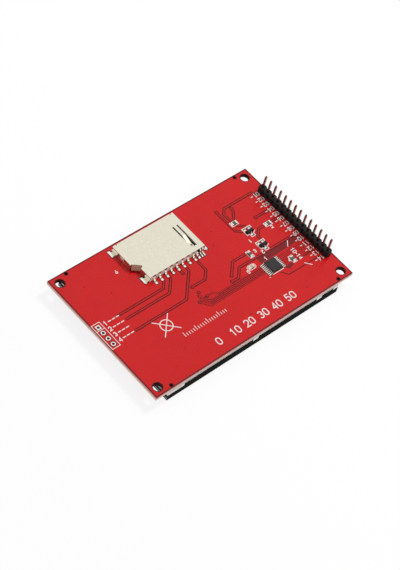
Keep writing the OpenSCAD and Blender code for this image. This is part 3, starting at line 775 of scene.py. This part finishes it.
def bare_part(low, high):
    """What the mask leaves bare of a land: all of it, or less under a chip."""
    at = middle(low, high)
    for chip in CHIPS:
        (x0, y0), _, (x1, y1), _ = over_chip(chip, CHIP_OPENING)
        if x0 < at.x < x1 and y0 < at.y < y1:
            inner_low = Vector((max(low.x, x0), max(low.y, y0), low.z))
            return inner_low, Vector((min(high.x, x1), min(high.y, y1), high.z))
    return low, high


def track(line, width, gap_w):
    """A copper track with a groove on both its sides."""
    gaps.strip(line, gap_w)
    tracks.strip(line, width)


def via(centre, radius=VIA_R):
    """A small plated hole that the mask has closed over: a low ring with a dark middle."""
    gaps.disc(centre, radius + GROOVE_W)
    tracks.ring(centre, radius * VIA_HOLE_SHARE, radius, sides=16)
    via_dots.disc(centre, radius * VIA_DOT_SHARE, sides=12)


for line, ends_in_via in TRACKS:
    track(line, TRACK_W, TRACK_GAP_W)
    if ends_in_via:
        via(line[-1])

for i, end in enumerate(BUNDLE_ENDS):
    y = BUNDLE_TOP - BUNDLE_PITCH * i
    turn_x = end[0][0] + abs(end[0][1] - y)
    track([(BUNDLE_RIGHT, y), (turn_x, y), *end], BUNDLE_W, THIN_GAP_W)
    via(end[-1], THIN_VIA_R)

for y in FAN_ROWS:
    track([(FAN_LEFT, y), (FAN_RIGHT, y)], TRACK_W, THIN_GAP_W)
gaps.strip(LONE_GROOVE, GROOVE_W)

for outline in BARE_PARTS:
    bare.prism(outline)

lands = islands("solder_lands")
for low, high in lands:
    if bare_part(low, high) == (low, high):
        clear_low = (low.x - LAND_CLEARANCE, low.y - LAND_CLEARANCE)
        gaps.prism(box_line(*clear_low, high.x + LAND_CLEARANCE, high.y + LAND_CLEARANCE))
for chip in CHIPS:
    laps.strip(over_chip(chip, [side + MASK_LAP for side in CHIP_OPENING]), MASK_LAP, closed=True)

mounts = {mount["name"]: mount for mount in frame["record"]["mounts"]}
for mount in mounts.values():
    if mount["kind"] == "bore":
        spot = [c / MM for c in mount["pos_m"][:2]]
        gaps.disc(spot, CARD_RING_R + LAND_CLEARANCE, sides=32)
screw_holes = mounts["corner_holes"]["dims"]
screw_r = screw_holes["hole_r_mm"]
for sx in (-1, 1):
    for sy in (-1, 1):
        spot = (sx * screw_holes["spacing_x_mm"] / 2, sy * screw_holes["spacing_y_mm"] / 2)
        gaps.ring(spot, screw_r + WALL_GAP, screw_r + HOLE_CLEARANCE, sides=40)
        spot = (sx * LOCATING_PITCH / 2 + LOCATING_SHIFT, sy * (board_high.y - LOCATING_INSET))
        gaps.ring(spot, LOCATING_R + WALL_GAP, LOCATING_R + HOLE_CLEARANCE, sides=24)

inset = RIM_W / 2
rim_low = (board_low.x + inset, board_low.y + inset)
rim.strip(box_line(*rim_low, board_high.x - inset, board_high.y - inset), RIM_W, closed=True)

for spot in SPECKS:
    gaps.disc(spot, SPECK_R, sides=12)
for i in range(PIMPLES):
    turn = i * GOLDEN_ANGLE
    reach = PIMPLE_REACH * math.sqrt((i + 0.5) / PIMPLES)
    x = PIMPLE_AT[0] + PIMPLE_STRETCH[0] * reach * math.cos(turn)
    y = PIMPLE_AT[1] + PIMPLE_STRETCH[1] * reach * math.sin(turn)
    tracks.disc((x, y), PIMPLE_R + PIMPLE_GROWTH * (i % 3), sides=12)

new_piece("bare_laminate", bare.bm, bare_mask)
new_piece("board_rim", rim.bm, rim_mask)
new_piece("track_grooves", gaps.bm, groove_mask)
new_piece("copper_tracks", tracks.bm, red_mask)
new_piece("closed_vias", via_dots.bm, groove_mask)

# ---------------------------------------------------------------- white print

# Pen strokes of plain numerals, on a box 0.6 wide and 1 high
NUMERALS = {
    "0": [around((0.3, 0.7), 0.3, 8, 0, 180) + around((0.3, 0.3), 0.3, 8, 180, 180) + [(0.6, 0.7)]],
    "1": [[(0.1, 0.78), (0.32, 1.0), (0.32, 0)]],
    "2": [around((0.3, 0.7), 0.3, 8, 160, -200) + [(0, 0), (0.6, 0)]],
    "3": [around((0.3, 0.75), 0.25, 8, 150, -230), around((0.3, 0.27), 0.28, 8, 80, -230)],
    "4": [[(0.45, 0), (0.45, 1), (0, 0.3)], [(0, 0.3), (0.6, 0.3)]],
    "5": [[(0.55, 1), (0.08, 1), (0.05, 0.55)] + around((0.28, 0.32), 0.31, 8, 120, -260)],
    "6": [[(0.45, 1), (0.1, 0.55)] + around((0.3, 0.3), 0.3, 12, 150, 350)],
    "7": [[(0, 1), (0.6, 1), (0.2, 0)]],
    "8": [around((0.3, 0.75), 0.24, 12), around((0.3, 0.27), 0.28, 12)],
    "9": [[(0.15, 0), (0.5, 0.45)] + around((0.3, 0.7), 0.3, 12, -30, 350)],
}
# From one numeral to the next, as a share of their height
NUMERAL_STEP = 0.86

# Widths of the pen, and heights of the numerals
DOT_PEN = 0.16
CHIP_PEN = 0.2
FINE_PEN = 0.22
LEAD_PEN = 0.25
BRACKET_PEN = 0.28
PLAIN_PEN = 0.3
PIN_PEN = 0.31
BOLD_PEN = 0.32
DASH_PEN = 0.34
WIDE_PEN = 0.36
SCALE_PEN = 0.4
SMALL_H = 1.2
BRACKET_H = 1.4
PIN_H = 1.5
SCALE_H = 2.6


def write(number, start, height, width, turn=0):
    """Plain numerals from the lower left corner at start, along a line turned by degrees."""
    rotation = Matrix.Rotation(math.radians(turn), 2)
    for i, numeral in enumerate(str(number)):
        for stroke in NUMERALS[numeral]:
            line = []
            for x, y in stroke:
                p = rotation @ Vector(((x + NUMERAL_STEP * i) * height, y * height))
                line.append((start[0] + p.x, start[1] + p.y))
            ink.pen(line, width)


def rows_of(node):
    """The places of a CAD node's solids along Y, from the highest down."""
    return sorted(((low.y + high.y) / 2 for low, high in islands(node)), reverse=True)


# Unused card header: an outline with a bar under the first hole, and numbers and dashes beside it
CARD_HALF_W = 1.65
CARD_HALF_L = 5.4
CARD_BAR_Y = 2.55
CARD_NUMBER_X = -40.1
CARD_DASHES = [(-38.4, -37.4), (-36.7, -35.7), (-35.0, -34.0)]

card_low, card_high = box_mm("card_header_holes")
card_x = (card_low.x + card_high.x) / 2
card_left, card_right = card_x - CARD_HALF_W, card_x + CARD_HALF_W
ink.pen(box_line(card_left, -CARD_HALF_L, card_right, CARD_HALF_L), FINE_PEN, closed=True)
ink.pen([(card_left, CARD_BAR_Y), (card_right, CARD_BAR_Y)], FINE_PEN)
for i, y in enumerate(rows_of("card_header_holes")):
    write(i + 1, (CARD_NUMBER_X, y - PIN_H / 2), PIN_H, BOLD_PEN)
    for start, end in CARD_DASHES:
        ink.pen([(start, y), (end, y)], WIDE_PEN)

# Main header: numbered pins, read from the other side, and a dash beyond each number. Both are
# measured from the header's side
PIN_NUMBER_GAP = 0.25
PIN_DASH = (3.1, 3.8)

for i, y in enumerate(rows_of("header_pins")):
    write(f"{i + 1:02d}", (header_side - PIN_NUMBER_GAP, y + PIN_H / 2), PIN_H, PIN_PEN, turn=180)
    ink.pen([(header_side - reach, y) for reach in PIN_DASH], DASH_PEN)

# Bracket beside the last pins of the header, with their two numbers
BRACKET = [[(35.0, -4.6), (33.4, -6.5)], [(33.4, -15.0), (35.1, -17.0)]]
BRACKET_NUMBERS = [(10, (33.1, -7.9)), (14, (33.1, -11.0))]
BRACKET_DASH = [(33.8, -10.2), (33.8, -10.7)]

for line in BRACKET:
    ink.pen(line, BRACKET_PEN)
for number, spot in BRACKET_NUMBERS:
    write(number, spot, BRACKET_H, BRACKET_PEN, turn=-90)
ink.pen(BRACKET_DASH, BRACKET_PEN)

# The numbers 0 to 50, and above them a fine millimetre scale with every fifth mark longer
SCALE_NUMBERS = 6
SCALE_NUMBER_STEP = 6.3
SCALE_NUMBER_AT = (-14, -23.8)
SCALE_MARKS = 19
SCALE_LEFT = -21
SCALE_Y = -15.0
SHORT_MARK_Y = -14.0
LONG_MARK_Y = -13.3

for i in range(SCALE_NUMBERS):
    x = SCALE_NUMBER_AT[0] + SCALE_NUMBER_STEP * i
    write(10 * i, (x, SCALE_NUMBER_AT[1]), SCALE_H, SCALE_PEN)
for i in range(SCALE_MARKS):
    x = SCALE_LEFT + i
    ink.pen([(x, SCALE_Y), (x, SHORT_MARK_Y if i % 5 else LONG_MARK_Y)], FINE_PEN)

# Plain target where a fixture finds the board
TARGET_AT = Vector((-23.5, -8.0))
TARGET_ARM = 3.4
TARGET_R = 2.2

for sx in (-1, 1):
    arm = Vector((TARGET_ARM * sx, TARGET_ARM))
    ink.pen([TARGET_AT - arm, TARGET_AT + arm], BOLD_PEN)
ink.pen(around(TARGET_AT, TARGET_R, sides=32), DASH_PEN, closed=True)

# Line and dot below the touch controller, and its number above
CONTROLLER_LINE_Y = -12.6
CONTROLLER_LINE_ENDS = (0.1, 0.2)
CONTROLLER_NUMBER_AT = (22.9, -6.7)
CONTROLLER_DOT_AT = (19.0, -12.9)
CONTROLLER_DOT_R = 0.14

controller_low, controller_high = box_mm("touch_controller")
line_from = (controller_low.x - CONTROLLER_LINE_ENDS[0], CONTROLLER_LINE_Y)
line_to = (controller_high.x + CONTROLLER_LINE_ENDS[1], CONTROLLER_LINE_Y)
ink.pen([line_from, line_to], PLAIN_PEN)
write(1, CONTROLLER_NUMBER_AT, SMALL_H, PLAIN_PEN)
ink.pen(around(CONTROLLER_DOT_AT, CONTROLLER_DOT_R, sides=12), DOT_PEN, closed=True)

# Lines round a three-lead package, as measured from its centre, and the pen for each
PACKAGE_LINES = [
    ([(-0.8, -0.85), (-1.75, -0.85), (-1.75, 2.1), (1.9, 2.1)], BOLD_PEN),
    ([(1.9, 2.1), (1.9, 1.2)], PLAIN_PEN),
    ([(2.1, -0.45), (1.3, -0.9), (0.8, -0.95)], LEAD_PEN),
    ([(-0.75, -1.1), (-0.75, -2.2), (0.85, -2.2), (0.85, -1.1)], LEAD_PEN),
]
PACKAGE_NUMBERS = [(1, (24.2, 3.1)), (2, (24.8, -2.9))]

for node in ("regulator", "backlight_transistor"):
    low, high = box_mm(node)
    x, y = (low.x + high.x) / 2, (low.y + high.y) / 2
    for line, width in PACKAGE_LINES:
        ink.pen([(x + dx, y + dy) for dx, dy in line], width)
for number, spot in PACKAGE_NUMBERS:
    write(number, spot, SMALL_H, PLAIN_PEN, turn=180)

# Outlines of the chips: boxes round the resistors, and one with round ends round the capacitor
CHIP_PRINT = (2.95, 1.72)
ROUND_END_AT = 0.85
ROUND_END_R = 0.92
CHIP_NUMBERS = [
    (1, (22.6, 10.8)),
    (2, (34.3, 2.4)),
    (3, (22.0, -2.2)),
    (4, (29.4, -11.8)),
    (5, (14.0, -7.7)),
    (6, (-23.6, 17.2)),
]

*resistors, capacitor = CHIPS
for chip in resistors:
    ink.pen(over_chip(chip, CHIP_PRINT), CHIP_PEN, closed=True)
(x, y), _ = capacitor
right_end = around((x + ROUND_END_AT, y), ROUND_END_R, 12, -90, 180)
left_end = around((x - ROUND_END_AT, y), ROUND_END_R, 12, 90, 180)
ink.pen(right_end + left_end, FINE_PEN, closed=True)
for number, spot in CHIP_NUMBERS:
    write(number, spot, SMALL_H, PLAIN_PEN)

new_piece("white_print", ink.bm, white_ink)

# ---------------------------------------------------------------- solder

# How high a heap is and how much of the land's length and width it covers: on the controller's
# lands, which are narrow, on those of the shell's tabs, which are long, in the row under the
# socket's contacts, and on all others
NARROW_LAND = 0.5
NARROW_HEAP = (0.1, 0.85)
LONG_LAND = 2.5
LONG_HEAP = (0.34, 1.0)
CONTACT_ROW = (6.4, 8.1)
CONTACT_HEAP = (0.16, 1.0)
PLAIN_HEAP = (0.2, 0.92)
# A power of 2 gives a plain arch, a higher one a squarer heap
HEAP_POWER = 2.6
HEAP_STEPS = 7
# How deep a heap sits in its land
HEAP_ROOT = 0.02

joints = bmesh.new()


def mound(low, high, height, share, steps=HEAP_STEPS):
    """A rounded heap of solder over a land, falling to nothing at its edges."""
    grid = []
    for i in range(steps):
        row = []
        for k in range(steps):
            u, v = 2 * i / (steps - 1) - 1, 2 * k / (steps - 1) - 1
            rise = (1 - abs(u) ** HEAP_POWER) * (1 - abs(v) ** HEAP_POWER)
            x = (low.x + high.x) / 2 + u * share * (high.x - low.x) / 2
            y = (low.y + high.y) / 2 + v * share * (high.y - low.y) / 2
            row.append(joints.verts.new((x, y, high.z + height * rise)))
        grid.append(row)
    for i in range(steps - 1):
        for k in range(steps - 1):
            joints.faces.new((grid[i][k], grid[i + 1][k], grid[i + 1][k + 1], grid[i][k + 1]))
    border = (
        [grid[i][0] for i in range(steps)]
        + [grid[-1][k] for k in range(1, steps)]
        + [grid[i][-1] for i in range(steps - 2, -1, -1)]
        + [grid[0][k] for k in range(steps - 2, 0, -1)]
    )
    base = [joints.verts.new((v.co.x, v.co.y, high.z - HEAP_ROOT)) for v in border]
    for i in range(len(border)):
        n = (i + 1) % len(border)
        joints.faces.new((border[i], border[n], base[n], base[i]))
    joints.faces.new(base)


for low, high in lands:
    low, high = bare_part(low, high)
    size = high - low
    if min(size.x, size.y) < NARROW_LAND:
        heap = NARROW_HEAP
    elif max(size.x, size.y) > LONG_LAND:
        heap = LONG_HEAP
    elif low.y > CONTACT_ROW[0] and high.y < CONTACT_ROW[1]:
        heap = CONTACT_HEAP
    else:
        heap = PLAIN_HEAP
    mound(low, high, *heap)
new_piece("solder_joints", joints, solder, smooth=True)

# ---------------------------------------------------------------- dimple of the socket's tongue

# Where the tongue that is cut out of the shell bears on a card: from the shell's side, from the
# housing's rear, and the height of the tongue's upper face there
DIMPLE_FROM_SIDE = 4.75
DIMPLE_FROM_REAR = 3.0
DIMPLE_Z = TOP + 1.88
DIMPLE_ROOT = 0.03
DIMPLE_R = 0.3
DIMPLE_SHADE_R = 0.35
DIMPLE_SHADE_T = 0.025
DIMPLE_RIM_R = 0.52
DIMPLE_RIM_T = 0.07

dimple_at = Vector((shell_high.x / MM - DIMPLE_FROM_SIDE, housing_low.y / MM + DIMPLE_FROM_REAR))
dimple_rim = Layer(DIMPLE_Z - DIMPLE_ROOT, DIMPLE_Z + DIMPLE_RIM_T)
dimple_rim.ring(dimple_at, DIMPLE_R, DIMPLE_RIM_R)
new_piece("dimple_rim", dimple_rim.bm, tab_metal)
# A dark disc over the dimple is painted shade, standing for the shade in its hollow
dimple_floor = Layer(DIMPLE_Z - DIMPLE_ROOT, DIMPLE_Z + DIMPLE_SHADE_T)
dimple_floor.disc(dimple_at, DIMPLE_SHADE_R)
new_piece("dimple_floor", dimple_floor.bm, inner_metal)

# ---------------------------------------------------------------- floor, light, camera

FLOOR_HALF = 3.0
FLOOR_SEAT = 1.0 * MM
FLOOR_WHITE = (0.96, 0.96, 0.96, 1)
FLOOR_GLOW = 0.84


def background_rays(tree):
    """1 on rays that show the background: seen directly, mirrored or through glass."""
    path = tree.nodes.new("ShaderNodeLightPath")
    total = path.outputs["Is Camera Ray"]
    for name in ("Is Glossy Ray", "Is Transmission Ray"):
        either = tree.nodes.new("ShaderNodeMath")
        either.operation = "MAXIMUM"
        tree.links.new(total, either.inputs[0])
        tree.links.new(path.outputs[name], either.inputs[1])
        total = either.outputs[0]
    return total


def floor_material():
    """Pale floor that keeps a soft shadow, and lets the underside be looked at from below."""
    material = bpy.data.materials.new("pale_floor")
    material.use_nodes = True
    tree = material.node_tree
    tree.nodes.clear()
    add, join = tree.nodes.new, tree.links.new
    output = add("ShaderNodeOutputMaterial")
    diffuse = add("ShaderNodeBsdfDiffuse")
    diffuse.inputs["Color"].default_value = FLOOR_WHITE
    glow = add("ShaderNodeEmission")
    glow.inputs["Strength"].default_value = 1.0
    share = add("ShaderNodeMath")
    share.operation = "MULTIPLY"
    share.inputs[1].default_value = FLOOR_GLOW
    join(background_rays(tree), share.inputs[0])
    lit = add("ShaderNodeMixShader")
    join(share.outputs[0], lit.inputs[0])
    join(diffuse.outputs[0], lit.inputs[1])
    join(glow.outputs[0], lit.inputs[2])
    through = add("ShaderNodeBsdfTransparent")
    side = add("ShaderNodeNewGeometry")
    whole = add("ShaderNodeMixShader")
    join(side.outputs["Backfacing"], whole.inputs[0])
    join(lit.outputs[0], whole.inputs[1])
    join(through.outputs[0], whole.inputs[2])
    join(whole.outputs[0], output.inputs["Surface"])
    return material


# The floor is open under the screen, so that light from below reaches the face that rests on it
floor_outline = box_line(-FLOOR_HALF, -FLOOR_HALF, FLOOR_HALF, FLOOR_HALF)
floor_opening = box_line(
    face_low.x + FLOOR_SEAT,
    face_low.y + FLOOR_SEAT,
    face_high.x - FLOOR_SEAT,
    face_high.y - FLOOR_SEAT,
)
floor_mesh = bpy.data.meshes.new("floor")
floor_mesh.from_pydata(
    [(x, y, cad_low.z) for x, y in floor_outline + floor_opening],
    [],
    [(i, (i + 1) % 4, (i + 1) % 4 + 4, i + 4) for i in range(4)],
)
floor_mesh.materials.append(floor_material())
floor = bpy.data.objects.new("floor", floor_mesh)
bpy.context.scene.collection.objects.link(floor)

# Brightness of the surroundings where they light the part, and where metal mirrors the room
WORLD_LEVEL = 0.55
ROOM_LEVEL = 0.22
ROOM_SIDE = (-0.58, -0.81, 0.05)
# Cosines of the angle to that side between which the room darkens
ROOM_EDGE = 0.55
ROOM_CORE = 0.9


def studio():
    """White all round to the eye; metal also mirrors the dim room on the photographer's side."""
    world = bpy.data.worlds.new("studio")
    bpy.context.scene.world = world
    world.use_nodes = True
    tree = world.node_tree
    tree.nodes.clear()
    add, join = tree.nodes.new, tree.links.new
    path = add("ShaderNodeLightPath")
    toward_room = add("ShaderNodeVectorMath")
    toward_room.operation = "DOT_PRODUCT"
    toward_room.inputs[1].default_value = ROOM_SIDE
    join(add("ShaderNodeTexCoord").outputs["Generated"], toward_room.inputs[0])
    mirrored = add("ShaderNodeMapRange")
    mirrored.interpolation_type = "SMOOTHSTEP"
    mirrored.inputs["From Min"].default_value = ROOM_EDGE
    mirrored.inputs["From Max"].default_value = ROOM_CORE
    mirrored.inputs["To Min"].default_value = 1.0
    mirrored.inputs["To Max"].default_value = ROOM_LEVEL
    join(toward_room.outputs["Value"], mirrored.inputs["Value"])
    level = WORLD_LEVEL
    for ray, brightness in (
        ("Is Camera Ray", 1.0),
        ("Is Transmission Ray", 1.0),
        ("Is Glossy Ray", mirrored.outputs["Result"]),
    ):
        choice = add("ShaderNodeMix")
        join(path.outputs[ray], choice.inputs["Factor"])
        for socket, value in ((choice.inputs[2], level), (choice.inputs[3], brightness)):
            if isinstance(value, float):
                socket.default_value = value
            else:
                join(value, socket)
        level = choice.outputs[0]
    backdrop = add("ShaderNodeBackground")
    backdrop.inputs["Color"].default_value = (1, 1, 1, 1)
    join(level, backdrop.inputs["Strength"])
    join(backdrop.outputs[0], add("ShaderNodeOutputWorld").inputs["Surface"])


studio()


def lamp(name, place, size, power, mirrored):
    """A square lamp that looks at the part: one that lights it, or one only seen mirrored."""
    data = bpy.data.lights.new(name, "AREA")
    data.size = size
    data.energy = power
    obj = bpy.data.objects.new(name, data)
    obj.location = place
    obj.rotation_euler = (-Vector(place)).to_track_quat("-Z", "Y").to_euler()
    obj.visible_glossy = mirrored
    obj.visible_diffuse = not mirrored
    bpy.context.scene.collection.objects.link(obj)


lamp("key", (0.52, 0.02, 0.85), size=0.2, power=5.5, mirrored=False)
lamp("glint", (0.515, -0.14, 0.85), size=0.14, power=0.05, mirrored=True)

# The photograph's viewpoint: where the camera stands, and what is behind and above it
CAMERA_AT = Vector((-308.37, -213.89, 466.76)) * MM
CAMERA_BACK = Vector((-0.5153, -0.3580, 0.7787)).normalized()
CAMERA_UP = Vector((0.4437, 0.6659, 0.5998))
FOCAL_LENGTH = 113.06
camera_right = CAMERA_UP.cross(CAMERA_BACK).normalized()
camera_up = CAMERA_BACK.cross(camera_right)
camera_data = bpy.data.cameras.new("camera")
camera_data.lens = FOCAL_LENGTH
camera_data.sensor_width = 36
camera_data.clip_start = 0.01
camera = bpy.data.objects.new("camera", camera_data)
turned = Matrix((camera_right, camera_up, CAMERA_BACK)).transposed().to_4x4()
camera.matrix_world = Matrix.Translation(CAMERA_AT) @ turned
bpy.context.scene.collection.objects.link(camera)
bpy.context.scene.camera = camera
bpy.context.scene.view_settings.view_transform = "Standard"
